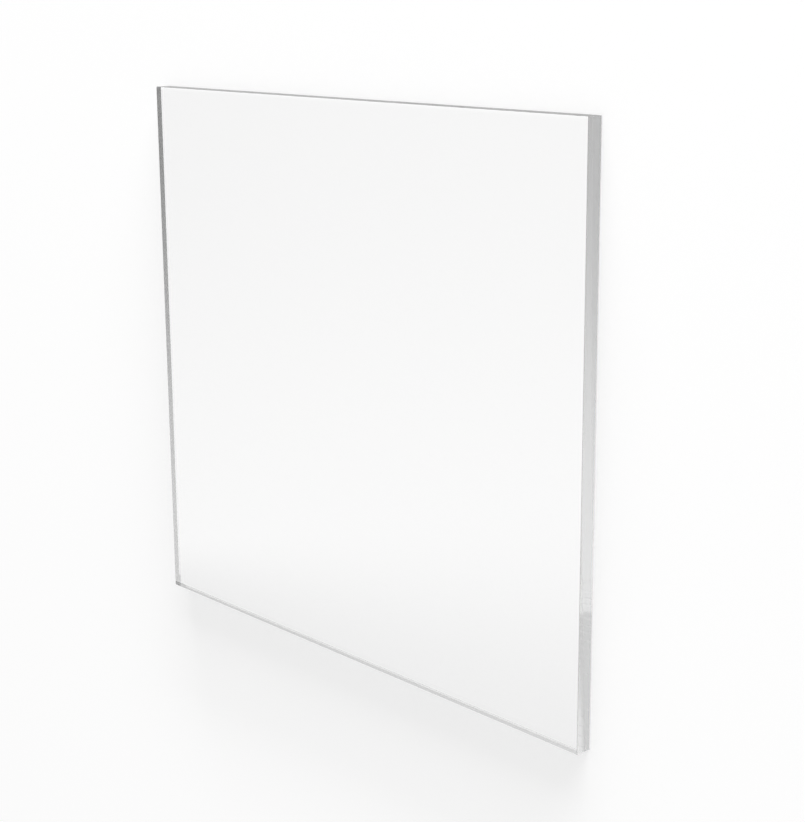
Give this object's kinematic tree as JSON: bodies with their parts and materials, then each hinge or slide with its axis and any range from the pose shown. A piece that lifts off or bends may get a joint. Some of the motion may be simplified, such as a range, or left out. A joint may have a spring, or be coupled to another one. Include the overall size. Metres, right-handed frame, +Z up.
{
  "type": "clear acrylic sheet",
  "caption": "Clear acrylic sheet: a flat rectangular panel of colourless stock with square, polished edges, lying on one broad face.",
  "frame": {"origin": "centre of the underside, the broad face that the sheet lies on", "axes": "+X along the long side, +Y along the short side, +Z up through the thickness"},
  "size_m": [0.38, 0.342, 0.01],
  "materials": {
    "clear_acrylic": "polished"
  },
  "bodies": {
    "root": {"acrylic_sheet": "clear_acrylic"}
  },
  "joints": []
}
